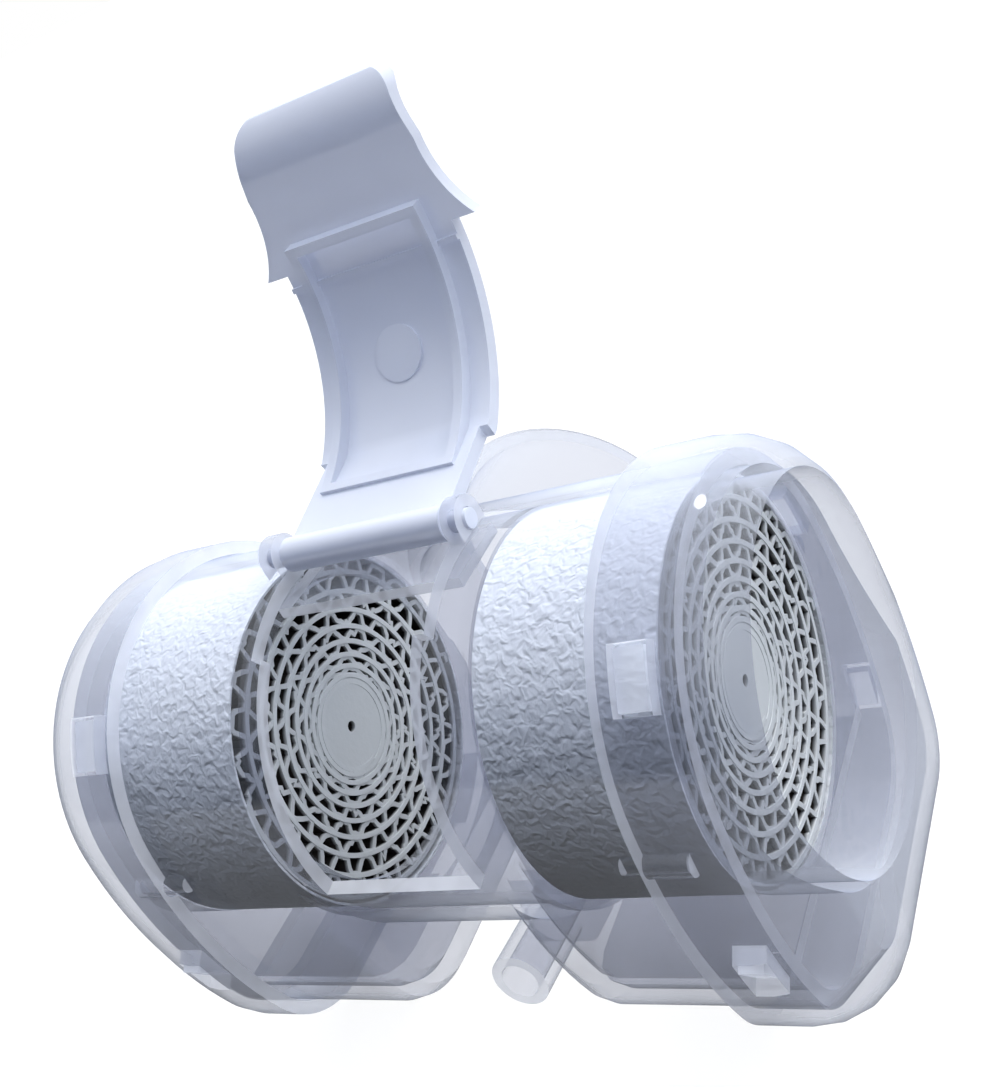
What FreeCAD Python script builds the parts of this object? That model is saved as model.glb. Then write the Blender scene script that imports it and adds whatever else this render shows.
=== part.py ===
import FreeCAD, Part
import math
import os
from FreeCAD import Vector

# Heat and moisture exchanger for a tracheostomy tube, in millimetres.
# X runs along the two media rolls, +Z is up, -Y is the side of the suction opening and +Y the
# side of the patient connector. The housing stands on the flat keels of its two end caps.
# The pieces are drawn about the rolls' common axis and then moved as one, so that the origin
# of the finished part is the centre of the connector's mouth.

# Media rolls: corrugated paper wound on itself
roll_radius = 10.35
roll_length = 9.8
roll_gap = 15.7             # between the rolls, clear of the connector that is pushed in
turn_pitch = 1.6
paper = 0.32                # liner and wall between two cells
flute_step = 1.7            # half a flute, one cell
core_radius = 0.35
first_turn_radius = 2.4     # inside it the paper is wound solid

# Clear moulded walls and their clearances
wall = 0.8
roll_clearance = 0.15
cap_clearance = 0.1
cap_wall = 0.8

# Section of a chamber: a round top for the roll, slightly bulged sides and two keel corners
keel_corner_y = 5.3
keel_corner_z = 10.1
keel_corner_radius = 4.4
side_radius = 29.0

# Stations along X, each from the middle outwards
opening_half = 4.93
chamber_start = 5.3
lip_width = 0.7
seat_gap = 0.1              # between a roll and the lip or sleeve that holds it
chamber_end = 19.0
cap_start = 15.1
cap_end = 22.5

inner_round = 2.0           # rounding of a chamber's inner end
inner_round_steps = 3
lip_height = 1.6            # of the ring each roll is pushed against, inside the bore

# End caps
cap_round_length = 4.6      # of the rounded outer edge, along X
cap_round_depth = 4.4
cap_round_steps = 5         # flat strips that make up the rounding
cap_inner_bevel = 2.8       # inside the rounded edge
sleeve_wall = 0.5           # of the sleeve that reaches in and holds the roll
window_x = (16.2, 18.1)
window_height = 3.2
window_angles = (137.5, 10.0)       # in front and at the back
low_window_x = (17.0, 18.7)
low_window_height = 2.6
low_window_angles = (213.0, -44.0)
catch_gap = 0.2
catch_share = 0.7           # of the cap's wall that a catch fills
key_x = (13.8, 17.2)
key_angle = -2.0
key_radius = 0.45

# Suction opening in the central tube, as angles from the back horizontal over the top
sill_angle = 190.0
hinge_back_y = 2.2          # the opening runs under the hinge as a trough
trough_half = 5.6
trough_front_y = -1.8
trough_floor = 0.6
trough_depth = 1.2          # below the outside of the tube

# Patient connector, the female cone that fits 15 mm fittings
connector_z = -1.0
connector_mouth_y = 17.6
connector_mouth_radius = 7.75
connector_lead = 4.0        # straight lead-in before the cone
connector_cone = 40.0       # length over which the diameter falls by 1 mm
connector_wall = 1.05
connector_bevel = 0.35      # on the mouth's outer edge

# Oxygen nozzle under the central tube
nozzle_radius = 1.75
nozzle_bore = 1.15
nozzle_mouth_y = -8.0
nozzle_drop = 2.0           # of its mouth's centre below the tube
nozzle_tilt = 8.0           # upwards, towards its mouth
nozzle_free = 5.0           # stem that the oxygen tubing is pushed over
boss_length = 3.2
boss_height = 5.5           # above the stem's lowest line, up into the tube's wall
boss_round = 0.4

# Suction lid and its hinge
hinge_y = 0.6
hinge_rise = 0.6            # of the pins' axis above the tube
pin_radius = 0.55
pin_clearance = 0.05
pin_end = 0.15              # of a pin past its ear
ear_offset = 0.02           # of an ear from the opening's edge
ear_width = 0.9
ear_radius = 1.25
knuckle_radius = 0.95
lid_side_gap = 0.33
lid_gap = 0.35              # between the closed lid and the tube
lid_wall = 0.85
lid_crease_angle = 120.0
lid_arc_end = 176.0         # the thumb tab leaves the arc here, along its tangent
lid_half_width = 5.8
lid_side_edge = 0.3         # of the crease left to the wide part of the strip
tab_drop = 5.2              # straight part of the thumb tab
tab_flare_radius = 3.0
tab_flare_angle = 50.0
tab_ear_z = 1.0             # height of the tab's two ears when closed
tab_ear_half = 7.3
tab_waist_half = 5.8
tab_end_half = 5.4
tab_corner = 1.3
rib_height = 0.75
rib_width = 0.6
rib_edge_gap = 0.4          # between the rib frame and the opening's edge
rib_start_angle = 106.0
rib_end_angle = 183.0
rib_line_angle = 170.0
gate_radius = 1.6
gate_height = 0.2
gate_angle = 146.0

# Shelf under each roll
shelf_wall = 0.8
shelf_drop = 0.2            # below the roll's bore

# How far a cutting shape reaches past what it cuts, and half a cutter wider than the part
past = 2.0
far = 40.0

# What follows from the driving dimensions
bore_radius = roll_radius + roll_clearance
tube_radius = bore_radius + wall
roll_start = roll_gap / 2
roll_end = roll_start + roll_length
cap_inner = wall + cap_clearance
cap_outer = cap_inner + cap_wall
breathing_radius = bore_radius - cap_clearance - sleeve_wall
nozzle_mouth_z = -(tube_radius + nozzle_drop)
boss_half = nozzle_radius + boss_round      # its flat front is as wide as the stem
hinge_z = tube_radius + hinge_rise
lid_inner = tube_radius + lid_gap
lid_outer = lid_inner + lid_wall
ear_start = trough_half + ear_offset
knuckle_half = trough_half - lid_side_gap
X_AXIS = Vector(1, 0, 0)


def polar(radius, degrees, x=0.0):
    """Point in the YZ plane at an angle from +Y towards +Z."""
    angle = math.radians(degrees)
    return Vector(x, radius * math.cos(angle), radius * math.sin(angle))


def side_arc_angles():
    """Centre of the side arc that touches the top circle and a corner circle from outside
    them, and the angles at which it touches the top and the corner."""
    to_top = side_radius - bore_radius
    to_corner = side_radius - keel_corner_radius
    span = math.hypot(keel_corner_y, keel_corner_z)
    lean = math.atan2(-keel_corner_z, keel_corner_y)
    cosine = (to_top ** 2 + span ** 2 - to_corner ** 2) / (2 * to_top * span)
    angle = lean - math.acos(cosine)
    centre = Vector(0, to_top * math.cos(angle), to_top * math.sin(angle))
    upper = (math.degrees(angle) + 360.0) % 360.0 - 180.0
    corner = Vector(0, keel_corner_y, -keel_corner_z) - centre
    lower = math.degrees(math.atan2(corner.z, corner.y))
    return centre, upper, lower


def section_radius(degrees, offset):
    """Distance from the rolls' axis to the section at an angle above its flat bottom."""
    side_centre, upper, lower = side_arc_angles()
    corner_centre = Vector(0, keel_corner_y, -keel_corner_z)
    hip = corner_centre + polar(keel_corner_radius, lower)
    back_angle = math.remainder(degrees, 360.0)
    if abs(back_angle) > 90.0:
        back_angle = math.remainder(180.0 - degrees, 360.0)
    if back_angle > upper:
        return bore_radius + offset
    centre, radius = side_centre, side_radius + offset
    if back_angle < math.degrees(math.atan2(hip.z, hip.y)):
        centre, radius = corner_centre, keel_corner_radius + offset
    along = polar(1.0, back_angle).dot(centre)
    return along + math.sqrt(radius ** 2 - centre.dot(centre) + along ** 2)


def chamber_face(x, offset):
    """Section of a chamber at x: round top, bulged sides, rounded corners and flat keel."""
    top = bore_radius + offset
    corner = keel_corner_radius + offset
    side = side_radius + offset
    centre = Vector(x, keel_corner_y, -keel_corner_z)
    side_centre, upper, lower = side_arc_angles()
    side_centre.x = x

    def mirrored(point):
        return Vector(point.x, -point.y, point.z)

    shoulder = polar(top, upper, x)
    flank = side_centre + polar(side, (upper + lower) / 2)
    hip = centre + polar(corner, lower)
    turn = centre + polar(corner, (lower - 90.0) / 2)
    foot = centre + polar(corner, -90.0)
    edges = [
        Part.Arc(shoulder, polar(top, 90.0, x), mirrored(shoulder)).toShape(),
        Part.Arc(mirrored(shoulder), mirrored(flank), mirrored(hip)).toShape(),
        Part.Arc(mirrored(hip), mirrored(turn), mirrored(foot)).toShape(),
        Part.LineSegment(mirrored(foot), foot).toShape(),
        Part.Arc(foot, turn, hip).toShape(),
        Part.Arc(hip, flank, shoulder).toShape(),
    ]
    return Part.Face(Part.Wire(edges))


def chamber_block(start, end, offset):
    """The chamber section run along X from start to end."""
    return chamber_face(start, offset).extrude(Vector(end - start, 0, 0))


def rounded_block(start, end, offset, length, depth, steps):
    """The chamber section run from start to end, its far edge rounded off in steps."""
    inward = math.copysign(length, start - end)
    sections = [(start, offset)]
    for index in range(steps + 1):
        angle = math.radians(90.0 * index / steps)
        sections.append((end + inward * (1 - math.sin(angle)),
                         offset - depth * (1 - math.cos(angle))))
    wires = [chamber_face(x, inset).OuterWire for x, inset in sections]
    return Part.makeLoft(wires, True, True)


def end_rounded(start, offset, end=chamber_end):
    """The chamber section with its inner end, at start, rounded off."""
    return rounded_block(end, start, offset, inner_round, inner_round, inner_round_steps)


def x_cylinder(radius, start, end, y=0.0, z=0.0):
    return Part.makeCylinder(radius, end - start, Vector(start, y, z), X_AXIS)


def x_ring(inner, outer, start, end):
    return x_cylinder(outer, start, end).cut(x_cylinder(inner, start - past, end + past))


def block(x0, x1, y0, y1, z0, z1):
    return Part.makeBox(x1 - x0, y1 - y0, z1 - z0, Vector(x0, y0, z0))


def both_sides(shape):
    """The shape and its mirror image on the other side of the middle plane."""
    return [shape, shape.mirror(Vector(0, 0, 0), X_AXIS)]


def yz_sector(inner, outer, start, end, half):
    """Part of a ring about X, from one angle to another, as wide as half on each side."""
    middle = (start + end) / 2
    edges = [
        Part.Arc(polar(inner, start), polar(inner, middle), polar(inner, end)).toShape(),
        Part.LineSegment(polar(inner, end), polar(outer, end)).toShape(),
        Part.Arc(polar(outer, end), polar(outer, middle), polar(outer, start)).toShape(),
        Part.LineSegment(polar(outer, start), polar(inner, start)).toShape(),
    ]
    face = Part.Face(Part.Wire(edges))
    face.translate(Vector(-half, 0, 0))
    return face.extrude(Vector(2 * half, 0, 0))


def wall_pad(x_range, degrees, height, low, high):
    """A block that stands on the chamber's wall at an angle, from one radius to another."""
    pad = block(x_range[0], x_range[1], low, high, -height / 2, height / 2)
    pad.rotate(Vector(0, 0, 0), X_AXIS, degrees)
    return pad


# Media roll

def roll_cells():
    """Triangular cells of the fluted paper, along the winding from the rim inwards."""
    height = turn_pitch - paper
    radius = roll_radius - paper - height / 2
    reach = flute_step - paper
    angle = 0.0
    points_out = True
    while radius > first_turn_radius:
        base = radius - height / 2 if points_out else radius + height / 2
        tip = radius + height / 2 if points_out else radius - height / 2
        half = math.degrees(reach / base)
        corners = [
            polar(base, angle - half),
            polar(base, angle + half),
            polar(tip, angle),
        ]
        yield corners
        step = math.degrees(flute_step / radius)
        angle += step
        radius -= turn_pitch * step / 360.0
        points_out = not points_out


def make_media_roll(side):
    disc = Part.Wire(Part.makeCircle(roll_radius, Vector(0, 0, 0), X_AXIS))
    core = Part.Wire(Part.makeCircle(core_radius, Vector(0, 0, 0), X_AXIS))
    face = Part.Face(disc)
    holes = [Part.Face(core)]
    for corners in roll_cells():
        holes.append(Part.Face(Part.makePolygon(corners + corners[:1])))
    face = face.cut(Part.makeCompound(holes)).Faces[0]
    start = roll_start if side > 0 else -roll_end
    face.translate(Vector(start, 0, 0))
    return face.extrude(Vector(roll_length, 0, 0))


# Housing

def chamber_shelf():
    """Flat shelf between the side walls, just under the roll."""
    top = -(bore_radius + shelf_drop)
    slab = block(chamber_start, roll_end, -tube_radius * 2, tube_radius * 2,
                 top - shelf_wall, top)
    return slab.common(end_rounded(chamber_start + wall / 2, wall / 2))


def cap_windows():
    """Span along X, angle and height of each window in a cap."""
    windows = [(window_x, degrees, window_height) for degrees in window_angles]
    for degrees in low_window_angles:
        windows.append((low_window_x, degrees, low_window_height))
    return windows


def catch(x_range, height, degrees):
    """Snap catch that fills a cap window with a gap all round."""
    inside = (x_range[0] + catch_gap, x_range[1] - catch_gap)
    return wall_pad(inside, degrees, height - 2 * catch_gap,
                    section_radius(degrees, wall / 2),
                    section_radius(degrees, cap_inner + cap_wall * catch_share))


def locating_key(degrees):
    """Rounded rib across the cap's edge, which turns the cap the right way up."""
    seat = polar(section_radius(degrees, wall), degrees)
    return x_cylinder(key_radius, key_x[0], key_x[1], seat.y, seat.z)


def connector_outer():
    length = connector_mouth_y - bore_radius / 2
    radius = connector_mouth_radius + connector_wall
    tube = Part.makeCylinder(radius, length, Vector(0, connector_mouth_y, connector_z),
                             Vector(0, -1, 0))
    rim = [edge for edge in tube.Edges
           if edge.Curve.TypeId == "Part::GeomCircle"
           and abs(edge.Curve.Center.y - connector_mouth_y) < 1e-6]
    return tube.makeChamfer(connector_bevel, rim)


def connector_bore():
    """Straight lead-in at the mouth, then a cone that narrows up to the rolls' axis."""
    inward = Vector(0, -1, 0)
    mouth = Vector(0, connector_mouth_y, connector_z)
    lead = Part.makeCylinder(connector_mouth_radius, connector_lead, mouth, inward)
    length = connector_mouth_y - connector_lead
    narrow = connector_mouth_radius - length / connector_cone / 2
    cone = Part.makeCone(connector_mouth_radius, narrow, length,
                         mouth + inward * connector_lead, inward)
    return lead.fuse(cone)


def nozzle_frame():
    """The mouth's centre and the direction from the mouth to the root."""
    angle = math.radians(nozzle_tilt)
    mouth = Vector(0, nozzle_mouth_y, nozzle_mouth_z)
    return mouth, Vector(0, math.cos(angle), -math.sin(angle))


def nozzle_outer():
    """Stem and the boss behind it, whose front is square to the stem."""
    mouth, inward = nozzle_frame()
    stem = Part.makeCylinder(nozzle_radius, nozzle_free + boss_length, mouth, inward)
    boss = block(-boss_half, boss_half, nozzle_free, nozzle_free + boss_length,
                 -nozzle_radius, boss_height - nozzle_radius)
    upright = [edge for edge in boss.Edges
               if abs(edge.Vertexes[0].Point.z - edge.Vertexes[1].Point.z) > boss_round]
    boss = boss.makeFillet(boss_round, upright)
    boss.rotate(Vector(0, 0, 0), X_AXIS, -nozzle_tilt)
    boss.translate(mouth)
    return stem.fuse(boss)


def nozzle_bore_cut():
    """Straight bore from the mouth and a riser into the central tube."""
    mouth, inward = nozzle_frame()
    run = nozzle_free + boss_length / 2
    bore = Part.makeCylinder(nozzle_bore, run + nozzle_bore, mouth, inward)
    elbow = mouth + inward * run
    riser = Part.makeCylinder(nozzle_bore, -elbow.z, elbow, Vector(0, 0, 1))
    return bore.fuse(riser)


def hinge_ear():
    """Upright ear beside the opening, with the pin's hole."""
    end = ear_start + ear_width
    post = block(ear_start, end, hinge_y - ear_radius, hinge_y + ear_radius,
                 bore_radius + wall / 3, hinge_z)
    ear = post.fuse(x_cylinder(ear_radius, ear_start, end, hinge_y, hinge_z))
    hole = x_cylinder(pin_radius + pin_clearance, ear_start - past, end + past, hinge_y,
                      hinge_z)
    return ear.cut(hole)


def hinge_trough():
    """Floor and back wall under the hinge, which close the opening there."""
    top = tube_radius - trough_depth
    half = trough_half + wall / 2
    floor = block(-half, half, trough_front_y, hinge_back_y + trough_floor,
                  top - trough_floor, top)
    back = block(-half, half, hinge_back_y, hinge_back_y + trough_floor,
                 top - trough_floor, tube_radius - wall / 3)
    return floor.fuse(back)


def suction_cut():
    """Cutter from the hinge's trough over the front to the sill."""
    start = math.degrees(math.acos(hinge_back_y / tube_radius))
    low = bore_radius - past
    high = tube_radius + past
    window = yz_sector(low, high, 90.0, sill_angle, opening_half)
    trough = yz_sector(low, high, start, lid_crease_angle, trough_half)
    return window.fuse(trough)


def make_housing():
    tube_half = chamber_start + inner_round
    shell = x_cylinder(tube_radius, -tube_half, tube_half)
    for half in both_sides(end_rounded(chamber_start, wall)):
        shell = shell.fuse(half)
    shell = shell.fuse([connector_outer(), nozzle_outer()])
    hollow = x_cylinder(bore_radius, -chamber_end - past, chamber_end + past)
    for half in both_sides(end_rounded(chamber_start + wall, 0, chamber_end + past)):
        hollow = hollow.fuse(half)
    shell = shell.cut(hollow)
    lip = x_ring(bore_radius - lip_height, bore_radius + wall / 2,
                 roll_start - seat_gap - lip_width, roll_start - seat_gap)
    parts = []
    for piece in (lip, chamber_shelf(), hinge_ear()):
        parts += both_sides(piece)
    for x_range, degrees, height in cap_windows():
        parts += both_sides(catch(x_range, height, degrees))
    for degrees in (key_angle, 180.0 - key_angle):
        parts += both_sides(locating_key(degrees))
    shell = shell.fuse(parts)
    shell = shell.cut(x_cylinder(bore_radius - lip_height, -chamber_start, chamber_start))
    shell = shell.cut(suction_cut())
    shell = shell.fuse(hinge_trough())
    shell = shell.cut(connector_bore())
    shell = shell.cut(nozzle_bore_cut())
    return shell.removeSplitter()


# End cap

def make_end_cap(side):
    inner_end = cap_end - cap_wall
    outer = rounded_block(cap_start, cap_end, cap_outer, cap_round_length, cap_round_depth,
                          cap_round_steps)
    inner = rounded_block(cap_start - past, inner_end, cap_inner, cap_inner_bevel,
                          cap_inner_bevel, 1)
    cap = outer.cut(inner)
    cap = cap.cut(x_cylinder(breathing_radius, cap_start, cap_end + past))
    sleeve = x_ring(breathing_radius, breathing_radius + sleeve_wall, roll_end + seat_gap,
                    cap_end)
    cap = cap.fuse(sleeve.common(outer))
    cuts = []
    for x_range, degrees, height in cap_windows():
        cuts.append(wall_pad(x_range, degrees, height, section_radius(degrees, 0),
                             section_radius(degrees, cap_outer + cap_wall)))
    for degrees in (key_angle, 180.0 - key_angle):
        seat = polar(section_radius(degrees, wall), degrees)
        reach = key_x[1] + catch_gap
        cuts.append(x_cylinder(key_radius + catch_gap, cap_start - past, reach, seat.y,
                               seat.z))
    for cutter in cuts:
        cap = cap.cut(cutter)
    cap = cap.removeSplitter()
    if side < 0:
        cap = cap.mirror(Vector(0, 0, 0), X_AXIS)
    return cap


# Suction lid, drawn closed and then swung open about its pins

def lid_tip():
    """Centre of the flare at the tab's end and the angle at which the flare starts."""
    outward = polar(1.0, lid_arc_end)
    down = polar(1.0, lid_arc_end + 90.0)
    low = polar(lid_outer, lid_arc_end) + down * tab_drop
    return low + outward * tab_flare_radius, lid_arc_end - 180.0


def lid_profile():
    """Side view of the lid: hinge plate, arc over the tube, thumb tab with its flare."""
    hinge = Vector(0, hinge_y, hinge_z)
    crease = polar((lid_inner + lid_outer) / 2, lid_crease_angle)
    along = (crease - hinge).normalize()
    across = Vector(0, -along.z, along.y) * (lid_wall / 2)
    middle = (lid_crease_angle + lid_arc_end) / 2
    centre, start = lid_tip()
    narrow = tab_flare_radius
    wide = tab_flare_radius + lid_wall

    def flare(radius, share):
        return centre + polar(radius, start - tab_flare_angle * share)

    tip = math.degrees(lid_wall / 2 / wide) / tab_flare_angle
    inner = [
        Part.LineSegment(hinge + across, polar(lid_inner, lid_crease_angle)).toShape(),
        Part.Arc(polar(lid_inner, lid_crease_angle), polar(lid_inner, middle),
                 polar(lid_inner, lid_arc_end)).toShape(),
        Part.LineSegment(polar(lid_inner, lid_arc_end), flare(wide, 0)).toShape(),
        Part.Arc(flare(wide, 0), flare(wide, 0.5), flare(wide, 1)).toShape(),
    ]
    outer = [
        Part.Arc(flare(wide, 1), flare((narrow + wide) / 2, 1 + tip),
                 flare(narrow, 1)).toShape(),
        Part.Arc(flare(narrow, 1), flare(narrow, 0.5), flare(narrow, 0)).toShape(),
        Part.LineSegment(flare(narrow, 0), polar(lid_outer, lid_arc_end)).toShape(),
        Part.Arc(polar(lid_outer, lid_arc_end), polar(lid_outer, middle),
                 polar(lid_outer, lid_crease_angle)).toShape(),
        Part.LineSegment(polar(lid_outer, lid_crease_angle), hinge - across).toShape(),
        Part.LineSegment(hinge - across, hinge + across).toShape(),
    ]
    return Part.Face(Part.Wire(inner + outer))


def lid_run(half):
    face = lid_profile()
    face.translate(Vector(-half, 0, 0))
    return face.extrude(Vector(2 * half, 0, 0))


def tab_outline():
    """Front view of the thumb tab: two ears, a waist and a rounded end."""
    centre, start = lid_tip()
    wide = tab_flare_radius + lid_wall
    end = centre.z - wide * math.sin(math.radians(tab_flare_angle - start))
    deep = -lid_outer - 2 * tab_flare_radius
    height = tab_ear_z - end

    def at(x, z):
        return Vector(x, deep, z)

    right = [
        at(tab_ear_half, tab_ear_z),
        at(tab_waist_half + 0.35, tab_ear_z - height * 0.25),
        at(tab_waist_half, tab_ear_z - height * 0.55),
        at(tab_end_half, end + tab_corner),
        at(tab_end_half - tab_corner * 0.3, end + tab_corner * 0.3),
        at(tab_end_half - tab_corner, end - lid_wall * 0.1),
    ]

    def left(point):
        return Vector(-point.x, point.y, point.z)

    edges = [
        Part.Arc(right[0], right[1], right[2]).toShape(),
        Part.LineSegment(right[2], right[3]).toShape(),
        Part.Arc(right[3], right[4], right[5]).toShape(),
        Part.LineSegment(right[5], left(right[5])).toShape(),
        Part.Arc(left(right[5]), left(right[4]), left(right[3])).toShape(),
        Part.LineSegment(left(right[3]), left(right[2])).toShape(),
        Part.Arc(left(right[2]), left(right[1]), left(right[0])).toShape(),
        Part.LineSegment(left(right[0]), right[0]).toShape(),
    ]
    return Part.Face(Part.Wire(edges)).extrude(Vector(0, -deep, 0))


def lid_ribs():
    """Raised frame on the inner side that enters the opening when the lid is closed."""
    outer_half = opening_half - rib_edge_gap
    low = lid_inner - rib_height
    high = lid_inner + lid_wall / 2
    rail = yz_sector(low, high, rib_start_angle, rib_end_angle, outer_half)
    spread = math.degrees(past / low)
    inside = yz_sector(low - past, high + past, rib_start_angle - spread,
                       rib_end_angle + spread, outer_half - rib_width)
    frame = rail.cut(inside)
    width = math.degrees(rib_width / lid_inner)
    crosses = []
    for start in (rib_start_angle, rib_end_angle - width):
        crosses.append(yz_sector(low, high, start, start + width, outer_half))
    line = yz_sector(lid_inner - gate_height, high, rib_line_angle,
                     rib_line_angle + width / 2, lid_half_width)
    return frame.fuse(crosses + [line])


def gate_pad():
    """Low round pad in the middle of the lid's inner side."""
    base = polar(lid_inner - gate_height, gate_angle)
    return Part.makeCylinder(gate_radius, gate_height + lid_wall / 2, base,
                             polar(1.0, gate_angle))


def make_lid():
    strip = lid_run(lid_half_width)
    crease = polar((lid_inner + lid_outer) / 2, lid_crease_angle)
    neck_length = crease.distanceToPoint(Vector(0, hinge_y, hinge_z)) - lid_side_edge
    hub = x_cylinder(neck_length, -far, far, hinge_y, hinge_z)
    above = block(-far, far, -far, far, tab_ear_z, far)
    upper = strip.common(above).cut(hub)
    neck = lid_run(knuckle_half).common(hub)
    tab = lid_run(tab_ear_half).cut(above).common(tab_outline())
    knuckle = x_cylinder(knuckle_radius, -knuckle_half, knuckle_half, hinge_y, hinge_z)
    pin_half = ear_start + ear_width + pin_end
    pins = x_cylinder(pin_radius, -pin_half, pin_half, hinge_y, hinge_z)
    lid = upper.fuse([neck, tab, knuckle, pins, lid_ribs(), gate_pad()])
    lid = lid.removeSplitter()
    lid.rotate(Vector(0, hinge_y, hinge_z), X_AXIS, 180.0)
    return lid


def write(name, shape):
    """Move a piece to the part's own origin and write it."""
    shape.translate(Vector(0, -connector_mouth_y, -connector_z))
    print(name, len(shape.Solids), shape.isValid(), round(shape.Volume, 2))
    shape.exportStep("parts/" + name + ".step")


def main():
    os.makedirs("parts", exist_ok=True)
    write("housing", make_housing())
    write("cap_right", make_end_cap(1))
    write("cap_left", make_end_cap(-1))
    write("media_roll_right", make_media_roll(1))
    write("media_roll_left", make_media_roll(-1))
    write("suction_lid", make_lid())


main()
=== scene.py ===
"""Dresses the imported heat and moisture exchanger: wound paper rolls, clear shells, lid, stage."""

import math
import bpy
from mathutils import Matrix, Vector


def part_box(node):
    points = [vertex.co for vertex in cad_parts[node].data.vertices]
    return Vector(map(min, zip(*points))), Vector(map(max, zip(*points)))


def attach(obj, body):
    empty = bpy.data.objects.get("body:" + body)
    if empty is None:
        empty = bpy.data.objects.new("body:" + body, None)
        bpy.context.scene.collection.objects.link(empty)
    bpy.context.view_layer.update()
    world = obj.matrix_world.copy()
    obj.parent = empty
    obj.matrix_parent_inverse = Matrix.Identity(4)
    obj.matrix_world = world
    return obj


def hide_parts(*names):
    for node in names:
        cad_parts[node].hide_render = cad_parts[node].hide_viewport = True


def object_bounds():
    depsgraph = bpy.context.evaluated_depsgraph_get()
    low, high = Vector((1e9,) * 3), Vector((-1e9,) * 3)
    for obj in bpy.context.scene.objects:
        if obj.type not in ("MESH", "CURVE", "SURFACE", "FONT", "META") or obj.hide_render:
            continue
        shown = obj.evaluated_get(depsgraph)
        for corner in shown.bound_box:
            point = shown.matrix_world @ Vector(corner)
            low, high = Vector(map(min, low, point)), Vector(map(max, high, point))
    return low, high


bl_info = {
    "name": "Heat and Moisture Exchanger",
    "version": (1, 0, 0),
    "blender": (4, 5, 0),
    "location": "View3D > Sidebar > Exchanger",
    "description": "Paper rolls, clear shells, suction lid and studio of the exchanger",
    "category": "Object",
}

import bmesh
import bpy
from mathutils import Matrix, Vector

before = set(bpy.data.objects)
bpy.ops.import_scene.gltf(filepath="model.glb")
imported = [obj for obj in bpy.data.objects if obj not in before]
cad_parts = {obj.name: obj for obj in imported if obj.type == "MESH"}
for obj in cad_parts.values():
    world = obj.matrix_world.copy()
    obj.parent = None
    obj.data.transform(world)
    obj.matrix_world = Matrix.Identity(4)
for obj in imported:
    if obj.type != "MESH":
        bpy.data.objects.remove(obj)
CAD_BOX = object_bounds()
MM = 0.001

ROLL_NODES = ("media_roll_right", "media_roll_left")
HOUSING_NODE = "housing"
SHELL_NODES = (HOUSING_NODE, "cap_right", "cap_left")
LID_NODE = "suction_lid"
ROLL_LOW, ROLL_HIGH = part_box(ROLL_NODES[0])
ROLL_RADIUS = (ROLL_HIGH[2] - ROLL_LOW[2]) / 2
ROLL_LENGTH = ROLL_HIGH[0] - ROLL_LOW[0]
ROLL_CENTRE = (Vector(ROLL_LOW) + Vector(ROLL_HIGH)) / 2
FLOOR_LEVEL = CAD_BOX[0][2] - 0.05 * MM     # just clear of the keels
OBJECT_CENTRE = (CAD_BOX[0] + CAD_BOX[1]) / 2
NARROW_FACE = 1.0 * MM                      # widest end face of a clear wall
ROLL_SMOOTH_LIMIT = 40                      # degrees up to which an edge is shaded smooth
SHELL_SMOOTH_LIMIT = 24

# The photo's camera and the direction of its light
EYE = Vector((44.28, -65.03, 40.34)) * MM
SIGHT = Vector((-0.5019, 0.7213, -0.4774)).normalized()
LIGHT_FROM = Vector((0.15, 0.61, 0.78)).normalized()


def srgb(hex_text):
    """Linear colour of an sRGB hex value such as #C0FFEE."""
    parts = [int(hex_text[i:i + 2], 16) / 255 for i in (1, 3, 5)]
    linear = [p / 12.92 if p <= 0.04045 else ((p + 0.055) / 1.055) ** 2.4 for p in parts]
    return (*linear, 1.0)


def add_node(tree, kind, inputs=None, **settings):
    """Add a node with its settings. An input is a value, or an output socket to link."""
    node = tree.nodes.new(kind)
    for name, value in settings.items():
        setattr(node, name, value)
    for name, value in (inputs or {}).items():
        if isinstance(value, bpy.types.NodeSocket):
            tree.links.new(value, node.inputs[name])
        else:
            node.inputs[name].default_value = value
    return node


def math_node(tree, operation, first, second=0.0):
    """Result of one arithmetic step."""
    return add_node(tree, "ShaderNodeMath", {0: first, 1: second},
                    operation=operation).outputs[0]


def vector_node(tree, operation, inputs, output="Vector"):
    """Result of one step with vectors."""
    node = add_node(tree, "ShaderNodeVectorMath", inputs, operation=operation)
    return node.outputs[output]


# Sizes and colours that a user would change

def length(name, text, millimetres):
    """Property for a length, given in millimetres and kept in metres."""
    return bpy.props.FloatProperty(name=name, description=text, default=millimetres * MM,
                                   min=0.0, precision=5, unit="LENGTH")


def colour(name, text, hex_text):
    """Property for a colour, given as an sRGB hex value."""
    return bpy.props.FloatVectorProperty(name=name, description=text, subtype="COLOR", size=4,
                                         min=0.0, max=1.0, default=srgb(hex_text))


def amount(name, text, value):
    """Property for a plain number."""
    return bpy.props.FloatProperty(name=name, description=text, default=value)


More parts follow.
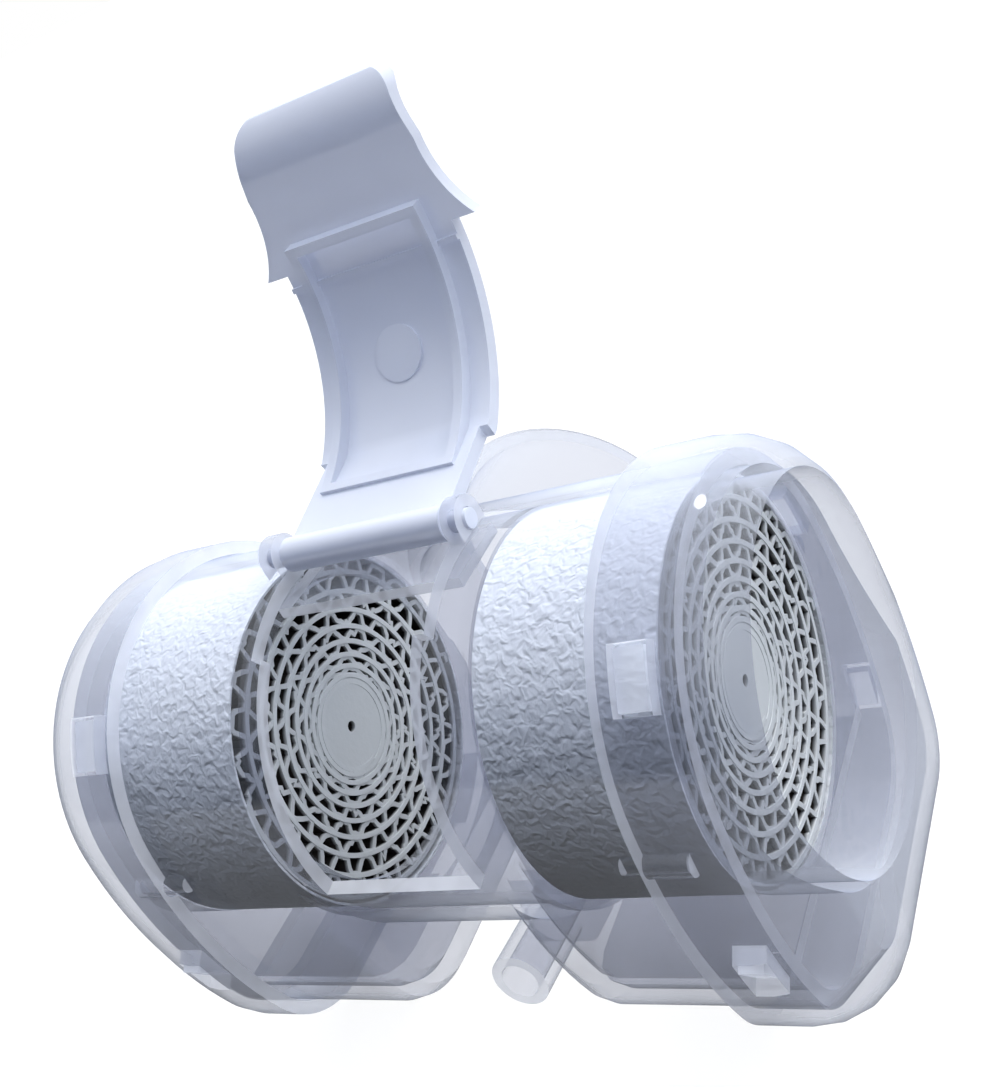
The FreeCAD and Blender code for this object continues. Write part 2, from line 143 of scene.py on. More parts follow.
class RollSizes(bpy.types.PropertyGroup):
    """Sizes of the wound, fluted paper of a media roll."""
    turn_pitch: length("Turn pitch", "Radial distance between two turns at the rim", 1.3)
    flute_pitch: length("Flute pitch", "Length of one wave of the fluted layer", 2.2)
    paper: length("Paper", "Thickness of the liner and of the fluted layer", 0.29)
    wrap: length("Wrap", "Thickness of the outermost turn", 0.14)
    tight_radius: length("Tight radius", "Inside it the paper is wound solid", 2.5)
    core_radius: length("Core radius", "Radius of the small hole in the middle", 0.32)
    waver: length("Waver", "How far the flutes depart from a regular wave", 0.3)
    core_shift_y: length("Core shift Y", "How far along Y the core lies off the middle", 1.0)
    core_shift_z: length("Core shift Z", "How far along Z the core lies off the middle", 0.8)
    tightening: amount("Tightening", "How much closer the inner turns lie than the outer", 1.6)
    seed: bpy.props.IntProperty(name="Seed", description="Seed of the waver", default=7)


class Finishes(bpy.types.PropertyGroup):
    """Colours of the exchanger's materials."""
    shell: colour("Clear shell", "Tint of what is seen through the clear shells", "#EBECF0")
    shell_body: colour("Shell body", "Haze of the clear shells", "#DCDFE4")
    # Painted light: this pale colour on the end faces stands in for light piped along inside the
    # clear walls
    painted_edge_light: colour("Shell edge", "Narrow end faces of the clear walls", "#F4F6FC")
    shell_rim: colour("Shell rim", "Colour of the clear shells along their rims", "#8E97AE")
    lid: colour("Lid", "Tint of what is seen through the lid", "#D5DAEC")
    lid_body: colour("Lid body", "Colour of the lid itself", "#ECEFF7")
    paper: colour("Paper edge", "Cut edges of the fluted paper", "#DCDFE0")
    # Painted shade: the cells are coloured this near black brown for the shade deep inside them
    painted_cell_shade: colour("Flute", "Inside of the paper cells", "#2A2420")
    wrap: colour("Wrap", "Fleece around the roll", "#EFF2F5")
    floor: colour("Floor", "Floor under the exchanger", "#FFFFFF")


class StageSizes(bpy.types.PropertyGroup):
    """Camera, lamps and floor."""
    lens: amount("Lens", "Focal length in millimetres for a 36 mm long side", 44.47)
    camera_roll: bpy.props.FloatProperty(
        name="Camera roll", description="Turn of the camera about its line of sight",
        default=math.radians(-28.14), subtype="ANGLE")
    floor_size: length("Floor size", "Side of the square floor", 40000)
    key_power: amount("Key power", "Strength of the wide lamp above and behind", 0.5)
    fill_power: amount("Fill power", "Watts of the lamp on the right", 0.02)


# Materials

def new_material(name):
    """Empty node material and its tree."""
    material = bpy.data.materials.new(name)
    material.use_nodes = True
    material.node_tree.nodes.clear()
    return material, material.node_tree


def mapped(tree, value, low, high):
    """A value from 0 to 1, spread between two others."""
    return add_node(tree, "ShaderNodeMapRange",
                    {"Value": value, "To Min": low, "To Max": high}).outputs[0]


def mixed(tree, share, first, second):
    """Shader of two, by the share of the second."""
    return add_node(tree, "ShaderNodeMixShader", {0: share, 1: first, 2: second}).outputs[0]


def mixed_colour(tree, share, first, second):
    """Colour between two, by the share of the second."""
    return add_node(tree, "ShaderNodeMix", {"Factor": share, "A": first, "B": second},
                    data_type="RGBA").outputs["Result"]


def object_place(tree):
    """Coordinates of the object, in metres."""
    return add_node(tree, "ShaderNodeTexCoord").outputs["Object"]


def ray_is(tree, *kinds):
    """1 for rays of any of the kinds, such as Camera, else 0."""
    path = add_node(tree, "ShaderNodeLightPath").outputs
    found = path[f"Is {kinds[0]} Ray"]
    for kind in kinds[1:]:
        found = math_node(tree, "MAXIMUM", found, path[f"Is {kind} Ray"])
    return found


def slant_of_view(tree):
    """0 where the surface faces the eye, and 1 where it is seen edge on."""
    return add_node(tree, "ShaderNodeLayerWeight", {"Blend": 0.5}).outputs["Facing"]


def moulding_bump(tree, ripple):
    """Flow pattern of a moulded piece, given by its width, and its faint ripples."""
    flow = add_node(tree, "ShaderNodeTexNoise",
                    {"Vector": object_place(tree), "Scale": 1 / ripple, "Detail": 1.0})
    bump = add_node(tree, "ShaderNodeBump",
                    {"Height": flow.outputs[0], "Strength": 0.35, "Distance": 0.06 * MM})
    return flow.outputs[0], bump.outputs[0]


def clear_styrene(name, tint, body, rim, least):
    """Injection moulded clear styrene, thin enough to show what is behind it unbent. It looks
    glassy: an uneven haze that is faint straight on and strong along the rims, where it
    turns blue-grey, under a hard gloss that flow ripples break up."""
    haze_power = 3.6
    most = 0.95                 # haze along the rims, against the least of it straight on
    share_unseen = 0.03         # of the haze that other pieces get in their light
    rim_power = 6.0
    let_through = 0.15          # of the haze, lit from behind
    mirror_power = 8.0
    least_mirror = 0.03
    most_mirror = 0.3
    material, tree = new_material(name)
    flow, ripples = moulding_bump(tree, 5 * MM)
    slant = slant_of_view(tree)
    seen = ray_is(tree, "Camera", "Glossy")

    haze = mapped(tree, math_node(tree, "POWER", slant, haze_power), least, most)
    cloud = mapped(tree, flow, 0.7, 1.3)
    shown = mapped(tree, seen, share_unseen, 1.0)
    cloudy = math_node(tree, "MULTIPLY", haze, math_node(tree, "MULTIPLY", cloud, shown))
    veil = mixed_colour(tree, seen, srgb("#FFFFFF"), tint)
    sheet = add_node(tree, "ShaderNodeBsdfTransparent", {"Color": veil})
    rim_share = math_node(tree, "POWER", slant, rim_power)
    cloud_colour = mixed_colour(tree, rim_share, body, rim)
    near = add_node(tree, "ShaderNodeBsdfDiffuse", {"Color": cloud_colour})
    through = add_node(tree, "ShaderNodeBsdfTranslucent", {"Color": cloud_colour})
    core = mixed(tree, let_through, near.outputs[0], through.outputs[0])
    plastic = mixed(tree, cloudy, sheet.outputs[0], core)

    gloss = add_node(tree, "ShaderNodeBsdfGlossy", {"Roughness": 0.06, "Normal": ripples})
    mirror = mapped(tree, math_node(tree, "POWER", slant, mirror_power),
                    least_mirror, most_mirror)
    polished = mixed(tree, math_node(tree, "MULTIPLY", mirror, seen), plastic,
                     gloss.outputs[0])
    add_node(tree, "ShaderNodeOutputMaterial", {"Surface": polished})
    return material


def milky_plastic(tree, haze, tint, body, let_through, gloss):
    """Plastic whose haze hides a share of what is behind it, and lets light through. The
    gloss holds further inputs of its surface."""
    sheet = add_node(tree, "ShaderNodeBsdfTransparent", {"Color": tint})
    near = add_node(tree, "ShaderNodeBsdfPrincipled", {"Base Color": body, **gloss})
    through = add_node(tree, "ShaderNodeBsdfTranslucent", {"Color": body})
    core = mixed(tree, let_through, near.outputs[0], through.outputs[0])
    plastic = mixed(tree, haze, sheet.outputs[0], core)
    add_node(tree, "ShaderNodeOutputMaterial", {"Surface": plastic})


def painted_light_edge(name, tint, body):
    """Narrow end face of a clear wall, with painted light: a paler, hazier colour than the wall's
    stands in for the light that runs along inside the wall and comes out here, as a pale line."""
    material, tree = new_material(name)
    flow, ripples = moulding_bump(tree, 2 * MM)
    # Painted light: a thick pale haze, so that the end face shows as a pale line
    haze = mapped(tree, flow, 0.45, 0.7)
    gloss = {"Roughness": 0.12, "IOR": 1.59, "Normal": ripples}
    milky_plastic(tree, haze, tint, body, 0.5, gloss)
    return material


def satin_polypropylene(name, tint, body):
    """Moulded natural polypropylene: milky, so it lets light through but hides most of what
    is behind it, with a soft sheen on its flow ripples."""
    slant_share = 0.25
    material, tree = new_material(name)
    flow, ripples = moulding_bump(tree, 4 * MM)
    slant = math_node(tree, "MULTIPLY", slant_of_view(tree), slant_share)
    haze = math_node(tree, "ADD", mapped(tree, flow, 0.7, 0.8), slant)
    gloss = {"Roughness": 0.2, "IOR": 1.6, "Specular IOR Level": 1.0, "Normal": ripples}
    milky_plastic(tree, haze, tint, body, 0.2, gloss)
    return material


def matt_paper(tree, tint, height, strength, relief, gloss):
    """Matt paper with a relief, given by its height pattern and its depth in metres. The
    gloss holds further inputs of its surface."""
    bump = add_node(tree, "ShaderNodeBump",
                    {"Height": height, "Strength": strength, "Distance": relief})
    surface = add_node(tree, "ShaderNodeBsdfPrincipled", {
        "Base Color": tint,
        "Normal": bump.outputs[0],
        **gloss,
    })
    add_node(tree, "ShaderNodeOutputMaterial", {"Surface": surface.outputs[0]})


def fluted_paper(name, edge, painted_shade):
    """Corrugated paper cut across: pale fibrous edges, and painted shade in the cells, near black
    brown just below the faces.
    """
    painted_shade_depth = 0.45 * MM
    fibre_width = 0.35 * MM
    material, tree = new_material(name)
    place = object_place(tree)
    axis = add_node(tree, "ShaderNodeSeparateXYZ", {0: place}).outputs["X"]
    side = math_node(tree, "ABSOLUTE", axis)
    from_middle = math_node(tree, "ABSOLUTE",
                            math_node(tree, "SUBTRACT", side, ROLL_CENTRE.x))
    # Painted shade: the colour runs from the pale edge at each face to the dark cell colour a short
    # way in, for the shade inside the cells
    depth = add_node(tree, "ShaderNodeMapRange", {
        "Value": from_middle,
        "From Min": ROLL_LENGTH / 2,
        "From Max": ROLL_LENGTH / 2 - painted_shade_depth,
    })
    shade = add_node(tree, "ShaderNodeValToRGB", {0: depth.outputs[0]})
    for stop, position, tint in zip(shade.color_ramp.elements, (0.04, 0.7), (edge, painted_shade)):
        stop.position = position
        stop.color = tint
    fibre = add_node(tree, "ShaderNodeTexNoise", {"Vector": place, "Scale": 1 / fibre_width})
    matt_paper(tree, shade.outputs[0], fibre.outputs[0], 0.3, 0.05 * MM, {"Roughness": 0.9})
    return material


def crinkled_fleece(name, tint):
    """Embossed cellulose fleece: white and matt, and crinkled all over."""
    crinkle_width = 0.5 * MM
    material, tree = new_material(name)
    crinkle = add_node(tree, "ShaderNodeTexNoise", {
        "Vector": object_place(tree),
        "Scale": 1 / crinkle_width,
        "Detail": 1.5,
        "Distortion": 0.4,
    })
    gloss = {"Roughness": 0.85, "Specular IOR Level": 0.2}
    matt_paper(tree, tint, crinkle.outputs[0], 1.0, 0.2 * MM, gloss)
    return material


# Media rolls

def roll_tree(wrap_material, paper_material):
    """Geometry Nodes tree of a media roll about Z: spiral liner, fluted layer and wrap."""
    liner_recess = 0.02 * MM        # below the roll's faces, each its own, so none coincide
    solid_recess = 0.03 * MM
    flute_recess = 0.05 * MM
    liner_step = 0.4 * MM
    steps_per_flute = 12.0
    drift_scale = 420.0             # of the noise that makes the flutes uneven
    phase_drift = 5.0
    flute_reach = 0.52              # of the free space, so that each crest touches the liner
    crest_overshoot = 1.3           # of the sine before it is cut off, which flattens crests
    tree = bpy.data.node_groups.new("media_roll", "GeometryNodeTree")
    for name in ("Radius", "Length", "Turn Pitch", "Flute Pitch", "Paper", "Wrap",
                 "Tight Radius", "Core Radius", "Waver", "Tightening", "Shift Y", "Shift Z"):
        tree.interface.new_socket(name, in_out="INPUT", socket_type="NodeSocketFloat")
    tree.interface.new_socket("Seed", in_out="INPUT", socket_type="NodeSocketInt")
    tree.interface.new_socket("Geometry", in_out="OUTPUT", socket_type="NodeSocketGeometry")
    size = add_node(tree, "NodeGroupInput").outputs

    # The turns lie close at the solid middle and grow apart outwards: the share of the way
    # out along a plain spiral is raised to a power
    rim = math_node(tree, "SUBTRACT", size["Radius"], size["Wrap"])
    half_paper = math_node(tree, "DIVIDE", size["Paper"], 2.0)
    last_turn = math_node(tree, "SUBTRACT", rim, half_paper)
    room = math_node(tree, "SUBTRACT", last_turn, size["Tight Radius"])
    grown_room = math_node(tree, "MULTIPLY", room, size["Tightening"])
    spiral = add_node(tree, "GeometryNodeCurveSpiral", {
        "Resolution": 96,
        "Rotations": math_node(tree, "DIVIDE", grown_room, size["Turn Pitch"]),
        "Start Radius": 0.02,
        "End Radius": 1.0,
        "Height": 0.0,
    })
    place = add_node(tree, "GeometryNodeInputPosition").outputs[0]
    outward = vector_node(tree, "NORMALIZE", {0: place})
    radius = vector_node(tree, "LENGTH", {0: place}, "Value")
    gained = math_node(tree, "MULTIPLY", room,
                       math_node(tree, "POWER", radius, size["Tightening"]))
    wound = math_node(tree, "ADD", size["Tight Radius"], gained)
    grown = add_node(tree, "GeometryNodeSetPosition", {
        "Geometry": spiral.outputs[0],
        "Position": vector_node(tree, "SCALE", {0: outward, "Scale": wound}),
    })
    even = add_node(tree, "GeometryNodeResampleCurve",
                    {"Curve": grown.outputs[0], "Length": liner_step}, mode="LENGTH")

    def ribbon(recess):
        """Section of a paper strip whose cut edges lie below the roll's faces."""
        height = math_node(tree, "SUBTRACT", size["Length"], 2 * recess)
        return add_node(tree, "GeometryNodeCurvePrimitiveQuadrilateral",
                        {"Width": size["Paper"], "Height": height}).outputs[0]

    liner = add_node(tree, "GeometryNodeCurveToMesh", {
        "Curve": even.outputs[0],
        "Profile Curve": ribbon(liner_recess),
        "Fill Caps": True,
    })

    # Fluted layer: the same spiral half a turn on, waved across the space between two turns
    between = add_node(tree, "GeometryNodeTransform",
                       {"Geometry": grown.outputs[0], "Rotation": (0.0, 0.0, math.pi)})
    steps = math_node(tree, "DIVIDE", size["Flute Pitch"], steps_per_flute)
    fine = add_node(tree, "GeometryNodeResampleCurve",
                    {"Curve": between.outputs[0], "Length": steps}, mode="LENGTH")
    way_out = math_node(tree, "DIVIDE",
                        math_node(tree, "SUBTRACT", radius, size["Tight Radius"]), room)
    power = math_node(tree, "SUBTRACT", 1.0,
                      math_node(tree, "DIVIDE", 1.0, size["Tightening"]))
    local = math_node(tree, "MULTIPLY", size["Turn Pitch"],
                      math_node(tree, "POWER", way_out, power))
    free = math_node(tree, "SUBTRACT", local, size["Paper"])
    swing = math_node(tree, "MAXIMUM", math_node(tree, "MULTIPLY", free, flute_reach), 0.0)
    noise_place = vector_node(tree, "SCALE", {0: place, "Scale": drift_scale})
    noise = add_node(tree, "ShaderNodeTexNoise",
                     {"Vector": noise_place, "W": size["Seed"], "Detail": 1.0},
                     noise_dimensions="4D")
    drift = math_node(tree, "SUBTRACT", noise.outputs[0], 0.5)
    along = add_node(tree, "GeometryNodeSplineParameter").outputs["Length"]
    phase = math_node(tree, "DIVIDE", math_node(tree, "MULTIPLY", along, math.tau),
                      size["Flute Pitch"])
    loose = math_node(tree, "ADD", phase, math_node(tree, "MULTIPLY", drift, phase_drift))
    crest = math_node(tree, "MULTIPLY", math_node(tree, "SINE", loose), crest_overshoot)
    flat_crest = math_node(tree, "MAXIMUM", math_node(tree, "MINIMUM", crest, 1.0), -1.0)
    wave = math_node(tree, "MULTIPLY", flat_crest, swing)
    uneven = math_node(tree, "ADD", wave, math_node(tree, "MULTIPLY", drift, size["Waver"]))
    swung = math_node(tree, "MINIMUM", math_node(tree, "ADD", radius, uneven), last_turn)
    waved = add_node(tree, "GeometryNodeSetPosition", {
        "Geometry": fine.outputs[0],
        "Position": vector_node(tree, "SCALE", {0: outward, "Scale": swung}),
    })
    flutes = add_node(tree, "GeometryNodeCurveToMesh", {
        "Curve": waved.outputs[0],
        "Profile Curve": ribbon(flute_recess),
        "Fill Caps": True,
    })

    # Solid middle and the wrap, each a ring
    def ring(inner, outer, recess):
        """Round band between two radii."""
        middle = math_node(tree, "MULTIPLY", math_node(tree, "ADD", inner, outer), 0.5)
        circle = add_node(tree, "GeometryNodeCurvePrimitiveCircle",
                          {"Resolution": 128, "Radius": middle})
        section = add_node(tree, "GeometryNodeCurvePrimitiveQuadrilateral", {
            "Width": math_node(tree, "SUBTRACT", outer, inner),
            "Height": math_node(tree, "SUBTRACT", size["Length"], 2 * recess),
        })
        return add_node(tree, "GeometryNodeCurveToMesh", {
            "Curve": circle.outputs[0], "Profile Curve": section.outputs[0]}).outputs[0]

    solid = ring(size["Core Radius"], size["Tight Radius"], solid_recess)
    wrap = add_node(tree, "GeometryNodeStoreNamedAttribute",
                    {"Geometry": ring(rim, size["Radius"], 0.0), "Name": "wrap", "Value": True},
                    data_type="BOOLEAN", domain="FACE")
    joined = add_node(tree, "GeometryNodeJoinGeometry")
    for piece in (liner.outputs[0], flutes.outputs[0], solid, wrap.outputs[0]):
        tree.links.new(piece, joined.inputs[0])

    # The core lies off the middle, so the turns are shifted more the nearer they are to it
    flat = vector_node(tree, "MULTIPLY", {0: place, 1: (1.0, 1.0, 0.0)})
    spread = math_node(tree, "DIVIDE", vector_node(tree, "LENGTH", {0: flat}, "Value"),
                       size["Radius"])
    left = math_node(tree, "MAXIMUM", math_node(tree, "SUBTRACT", 1.0, spread), 0.0)
    shift = add_node(tree, "ShaderNodeCombineXYZ", {
        "X": math_node(tree, "MULTIPLY", size["Shift Z"], -1.0),
        "Y": size["Shift Y"],
    })
    shifted = add_node(tree, "GeometryNodeSetPosition", {
        "Geometry": joined.outputs[0],
        "Offset": vector_node(tree, "SCALE", {0: shift.outputs[0], "Scale": left}),
    })

    real = add_node(tree, "GeometryNodeRealizeInstances", {0: shifted.outputs[0]})
    paper = add_node(tree, "GeometryNodeSetMaterial",
                     {"Geometry": real.outputs[0], "Material": paper_material})
    is_wrap = add_node(tree, "GeometryNodeInputNamedAttribute", {"Name": "wrap"},
                       data_type="BOOLEAN")
    dressed = add_node(tree, "GeometryNodeSetMaterial", {
        "Geometry": paper.outputs[0],
        "Selection": is_wrap.outputs[0],
        "Material": wrap_material,
    })
    add_node(tree, "NodeGroupOutput", {"Geometry": dressed.outputs[0]})
    return tree


def set_inputs(modifier, values):
    """Set a Geometry Nodes modifier's inputs by their identifiers."""
    for item in modifier.node_group.interface.items_tree:
        if item.in_out == "INPUT" and item.name in values:
            modifier[item.identifier] = values[item.name]


def grown_mesh(name, tree, values):
    """Plain mesh that a Geometry Nodes tree makes."""
    grower = bpy.data.objects.new(name, bpy.data.meshes.new(name))
    bpy.context.collection.objects.link(grower)
    modifier = grower.modifiers.new("Grow", "NODES")
    modifier.node_group = tree
    set_inputs(modifier, values)
    graph = bpy.context.evaluated_depsgraph_get()
    mesh = bpy.data.meshes.new_from_object(grower.evaluated_get(graph), depsgraph=graph)
    grower.modifiers.remove(modifier)
    bpy.data.objects.remove(grower)
    return mesh


def new_object(name, mesh):
    """Object for a mesh, at the origin."""
    piece = bpy.data.objects.new(name, mesh)
    bpy.context.collection.objects.link(piece)
    return piece


def smooth(mesh, limit):
    """Shade a mesh smooth, with edges sharper than the limit kept."""
    for face in mesh.polygons:
        face.use_smooth = True
    mesh.set_sharp_from_angle(angle=math.radians(limit))


def flatten_flats(piece):
    """Let large flat faces keep their own normal where a curved one runs into them."""
    weighting = piece.modifiers.new("Flats", "WEIGHTED_NORMAL")
    weighting.mode = "FACE_AREA_WITH_ANGLE"
    weighting.weight = 80
    weighting.keep_sharp = True


class EXCHANGER_OT_rolls(bpy.types.Operator):
    """Wind the two paper rolls in place of their plain solids"""
    bl_idname = "exchanger.rolls"
    bl_label = "Media rolls"

    def execute(self, context):
        sizes = context.scene.exchanger_rolls
        finish = context.scene.exchanger_finishes
        paper = fluted_paper("corrugated_paper", finish.paper, finish.painted_cell_shade)
        wrap = crinkled_fleece("cellulose_fleece", finish.wrap)
        tree = roll_tree(wrap, paper)
        values = {
            "Radius": ROLL_RADIUS,
            "Length": ROLL_LENGTH,
            "Turn Pitch": sizes.turn_pitch,
            "Flute Pitch": sizes.flute_pitch,
            "Paper": sizes.paper,
            "Wrap": sizes.wrap,
            "Tight Radius": sizes.tight_radius,
            "Core Radius": sizes.core_radius,
            "Waver": sizes.waver,
            "Tightening": sizes.tightening,
        }
        for index, node in enumerate(ROLL_NODES):
            # The left roll's core lies half as far off the middle as the right one's
            values["Seed"] = sizes.seed + index
            values["Shift Y"] = -sizes.core_shift_y / (1 + index)
            values["Shift Z"] = sizes.core_shift_z / (1 + index)
            low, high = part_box(node)
            centre = (Vector(low) + Vector(high)) / 2
            mesh = grown_mesh(node, tree, values)
            mesh.transform(Matrix.Translation(centre) @ Matrix.Rotation(math.pi / 2, 4, "Y"))
            smooth(mesh, ROLL_SMOOTH_LIMIT)
            roll = new_object("wound_" + node, mesh)
            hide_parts(node)
            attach(roll, "body")
        return {"FINISHED"}


def merged_copy(node, name):
    """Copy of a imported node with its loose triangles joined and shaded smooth."""
    same_place = 0.001 * MM
    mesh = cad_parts[node].data.copy()
    mesh.name = name
    shape = bmesh.new()
    shape.from_mesh(mesh)
    bmesh.ops.remove_doubles(shape, verts=shape.verts, dist=same_place)
    shape.to_mesh(mesh)
    shape.free()
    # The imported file's own normals and sharp edges would stay in force otherwise
    for layer in ("custom_normal", "sharp_edge"):
        if layer in mesh.attributes:
            mesh.attributes.remove(mesh.attributes[layer])
    mesh.materials.clear()
    smooth(mesh, SHELL_SMOOTH_LIMIT)
    piece = new_object(name, mesh)
    flatten_flats(piece)
    return piece


def flat_patch(start, seen):
    """The faces that lie flat with a first one, reached over shared edges."""
    flat_enough = 0.9999
    patch = [start]
    seen.add(start)
    for face in patch:
        for edge in face.edges:
            for other in edge.link_faces:
                if other not in seen and other.normal.dot(start.normal) > flat_enough:
                    seen.add(other)
                    patch.append(other)
    return patch


def mark_narrow_faces(mesh, width, slot):
    """Give flat patches narrower than the width, and sharply bounded, a slot's material."""
    sharp_angle = math.radians(30)
    sharp_share = 0.85
    shape = bmesh.new()
    shape.from_mesh(mesh)
    seen = set()
    for face in shape.faces:
        if face in seen:
            continue
        patch = flat_patch(face, seen)
        inside = set(patch)
        area = sum(each.calc_area() for each in patch)
        border = [edge for each in patch for edge in each.edges
                  if not inside.issuperset(edge.link_faces)]
        around = sum(edge.calc_length() for edge in border)
        sharp = sum(edge.calc_length() for edge in border
                    if edge.calc_face_angle(0.0) > sharp_angle)
        if 2 * area < width * around and sharp > sharp_share * around:
            for each in patch:
                each.material_index = slot
    shape.to_mesh(mesh)
    shape.free()


class EXCHANGER_OT_shells(bpy.types.Operator):
    """Dress the clear housing and its two end caps"""
    bl_idname = "exchanger.shells"
    bl_label = "Clear shells"

    def execute(self, context):
        finish = context.scene.exchanger_finishes
        tints = (finish.shell, finish.shell_body, finish.shell_rim)
        clear = clear_styrene("clear_styrene", *tints, least=0.02)
        hazy = clear_styrene("hazy_styrene", *tints, least=0.09)
        edge = painted_light_edge("clear_styrene_painted_light_edge", finish.shell, finish.painted_edge_light)
        for node in SHELL_NODES:
            shell = merged_copy(node, "clear_" + node)
            shell.data.materials.append(clear if node == HOUSING_NODE else hazy)
            shell.data.materials.append(edge)
            mark_narrow_faces(shell.data, NARROW_FACE, 1)
            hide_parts(node)
            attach(shell, "body")
        return {"FINISHED"}


class EXCHANGER_OT_lid(bpy.types.Operator):
    """Dress the suction lid"""
    bl_idname = "exchanger.lid"
    bl_label = "Suction lid"

    def execute(self, context):
        finish = context.scene.exchanger_finishes
        plastic = satin_polypropylene("satin_polypropylene", finish.lid, finish.lid_body)
        lid = merged_copy(LID_NODE, "satin_lid")
        lid.data.materials.append(plastic)
        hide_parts(LID_NODE)
        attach(lid, "lid")
        return {"FINISHED"}


# Studio

def studio_floor_material(tint):
    """Pale floor: it keeps the object's shadow, and throws little light up under it."""
    material, tree = new_material("studio_floor")
    matt = add_node(tree, "ShaderNodeBsdfDiffuse", {"Color": srgb("#6E6E6E")})
    glow = add_node(tree, "ShaderNodeEmission", {"Color": tint, "Strength": 0.88})
    seen = add_node(tree, "ShaderNodeAddShader", {0: matt.outputs[0], 1: glow.outputs[0]})
    dim = add_node(tree, "ShaderNodeBsdfDiffuse", {"Color": srgb("#242424")})
    shown = ray_is(tree, "Camera", "Glossy", "Transmission")
    surface = mixed(tree, shown, dim.outputs[0], seen.outputs[0])
    add_node(tree, "ShaderNodeOutputMaterial", {"Surface": surface})
    return material


def studio_world():
    """White where the camera looks, and for the object a soft light from above and behind."""
    world = bpy.data.worlds.new("studio")
    world.use_nodes = True
    tree = world.node_tree
    tree.nodes.clear()
    where = add_node(tree, "ShaderNodeTexCoord")
    height = vector_node(tree, "DOT_PRODUCT", {0: where.outputs["Generated"],
                                               1: tuple(LIGHT_FROM)}, "Value")
    share = add_node(tree, "ShaderNodeMapRange",
                     {"Value": height, "From Min": -1.0, "From Max": 1.0})

    def sky(low, middle, where_low, where_high, strength):
        """Dome that brightens to white towards the light, between two of its heights."""
        ramp = add_node(tree, "ShaderNodeValToRGB", {0: share.outputs[0]})
        stops = ramp.color_ramp.elements
        stops[0].position, stops[0].color = where_low, srgb(low)
        stops[1].position, stops[1].color = where_high, srgb("#FFFFFF")
        stops.new((where_low + where_high) / 2).color = srgb(middle)
        return add_node(tree, "ShaderNodeBackground",
                        {"Color": ramp.outputs[0], "Strength": strength}).outputs[0]

    mirrored = sky("#32353C", "#A9B2C6", 0.2, 0.62, 1.0)
    lighting = sky("#020202", "#BDC6D6", 0.65, 1.0, 4.0)
    white = add_node(tree, "ShaderNodeBackground",
                     {"Color": srgb("#FFFFFF"), "Strength": 1.0}).outputs[0]
    lit = mixed(tree, ray_is(tree, "Glossy", "Transmission"), lighting, mirrored)
    add_node(tree, "ShaderNodeOutputWorld",
             {"Surface": mixed(tree, ray_is(tree, "Camera"), lit, white)})
    return world


def add_lamp(kind, name, power, place, **settings):
    """Lamp at a place, turned to the object."""
    data = bpy.data.lights.new(name, kind)
    data.energy = power
    for setting, value in settings.items():
        setattr(data, setting, value)
    lamp = bpy.data.objects.new(name, data)
    lamp.location = place
    lamp.rotation_euler = (OBJECT_CENTRE - place).to_track_quat("-Z", "Y").to_euler()
    bpy.context.collection.objects.link(lamp)


def add_floor(size, tint):
    """Square floor just under the exchanger."""
    half = size / 2
    corners = [(-half, -half), (half, -half), (half, half), (-half, half)]
    mesh = bpy.data.meshes.new("floor")
    mesh.from_pydata([(x, y, FLOOR_LEVEL) for x, y in corners], [], [(0, 1, 2, 3)])
    mesh.materials.append(studio_floor_material(tint))
    new_object("floor", mesh)


def add_camera(lens, camera_roll):
    """The photo's camera, which is turned about its line of sight."""
    data = bpy.data.cameras.new("camera")
    data.lens = lens
    data.sensor_width = 36.0
    data.shift_x = -0.0732
    data.shift_y = 0.0273
    data.clip_start = 1 * MM
    camera = bpy.data.objects.new("camera", data)
    turn = SIGHT.to_track_quat("-Z", "Y").to_matrix().to_4x4()
    roll = Matrix.Rotation(camera_roll, 4, "Z")
    camera.matrix_world = Matrix.Translation(EYE) @ turn @ roll
    bpy.context.collection.objects.link(camera)
    bpy.context.scene.camera = camera


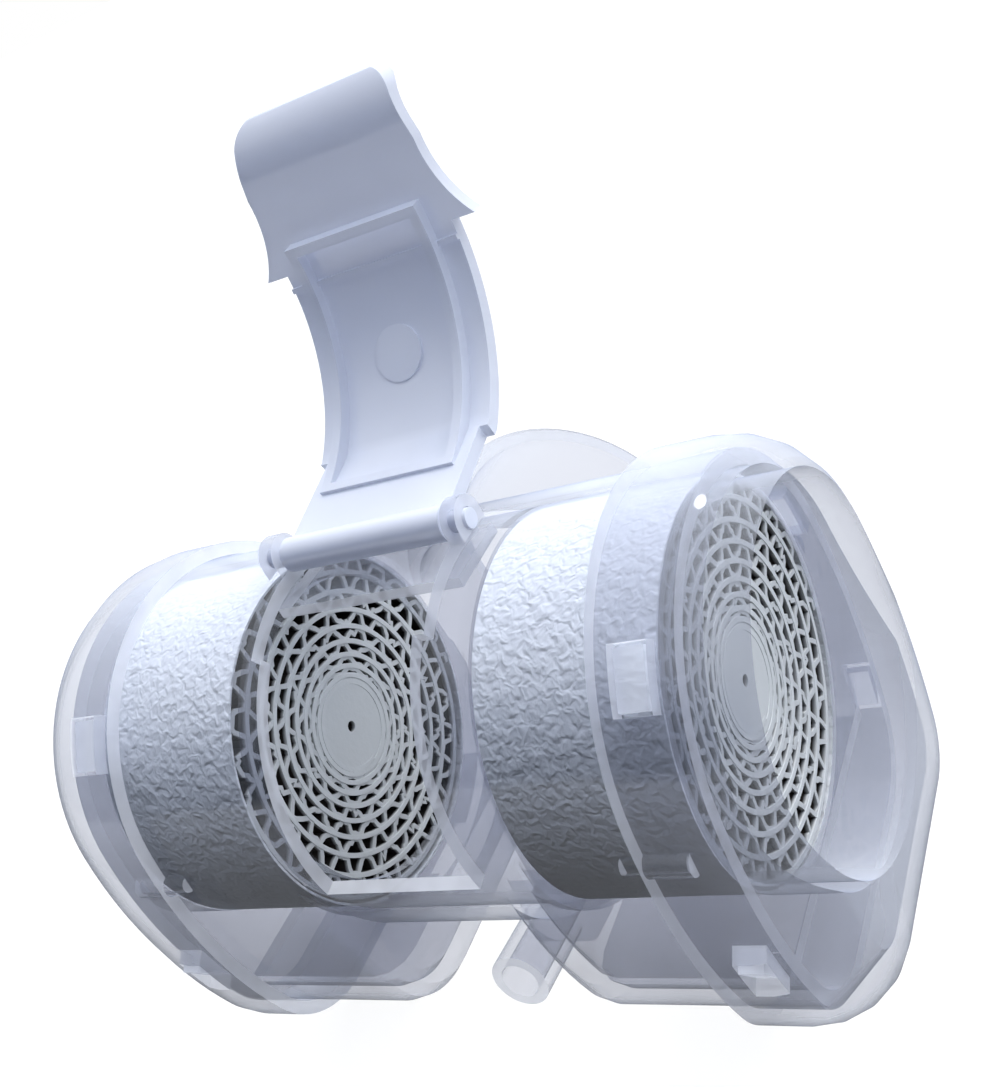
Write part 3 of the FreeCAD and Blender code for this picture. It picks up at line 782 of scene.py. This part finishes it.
class EXCHANGER_OT_stage(bpy.types.Operator):
    """Set up the floor, lamps, world and camera"""
    bl_idname = "exchanger.stage"
    bl_label = "Studio"

    def execute(self, context):
        scene = context.scene
        sizes = scene.exchanger_stage
        add_floor(sizes.floor_size, scene.exchanger_finishes.floor)
        add_lamp("SUN", "key", sizes.key_power, OBJECT_CENTRE + LIGHT_FROM,
                 angle=math.radians(9))
        add_lamp("AREA", "fill", sizes.fill_power,
                 OBJECT_CENTRE + Vector((0.4, -0.15, 0.25)), size=0.2)
        scene.world = studio_world()
        add_camera(sizes.lens, sizes.camera_roll)
        scene.view_settings.view_transform = "Standard"
        scene.cycles.transparent_max_bounces = 32       # the clear walls lie many deep
        return {"FINISHED"}


class EXCHANGER_PT_panel(bpy.types.Panel):
    """Lists the exchanger's pieces in the sidebar"""
    bl_idname = "EXCHANGER_PT_panel"
    bl_label = "Exchanger"
    bl_space_type = "VIEW_3D"
    bl_region_type = "UI"
    bl_category = "Exchanger"

    def draw(self, context):
        layout = self.layout
        for operator in OPERATORS:
            layout.operator(operator.bl_idname)
        for group_name in GROUPS:
            group = getattr(context.scene, group_name)
            for name in group.__annotations__:
                layout.prop(group, name)


GROUPS = {
    "exchanger_rolls": RollSizes,
    "exchanger_finishes": Finishes,
    "exchanger_stage": StageSizes,
}
OPERATORS = (EXCHANGER_OT_rolls, EXCHANGER_OT_shells, EXCHANGER_OT_lid, EXCHANGER_OT_stage)


def register():
    for kind in (*GROUPS.values(), *OPERATORS, EXCHANGER_PT_panel):
        bpy.utils.register_class(kind)
    for name, group in GROUPS.items():
        setattr(bpy.types.Scene, name, bpy.props.PointerProperty(type=group))


def unregister():
    for name in GROUPS:
        delattr(bpy.types.Scene, name)
    for kind in (EXCHANGER_PT_panel, *reversed(OPERATORS), *GROUPS.values()):
        bpy.utils.unregister_class(kind)


def main():
    register()
    bpy.ops.exchanger.rolls()
    bpy.ops.exchanger.shells()
    bpy.ops.exchanger.lid()
    bpy.ops.exchanger.stage()


if __name__ == "__main__":
    main()
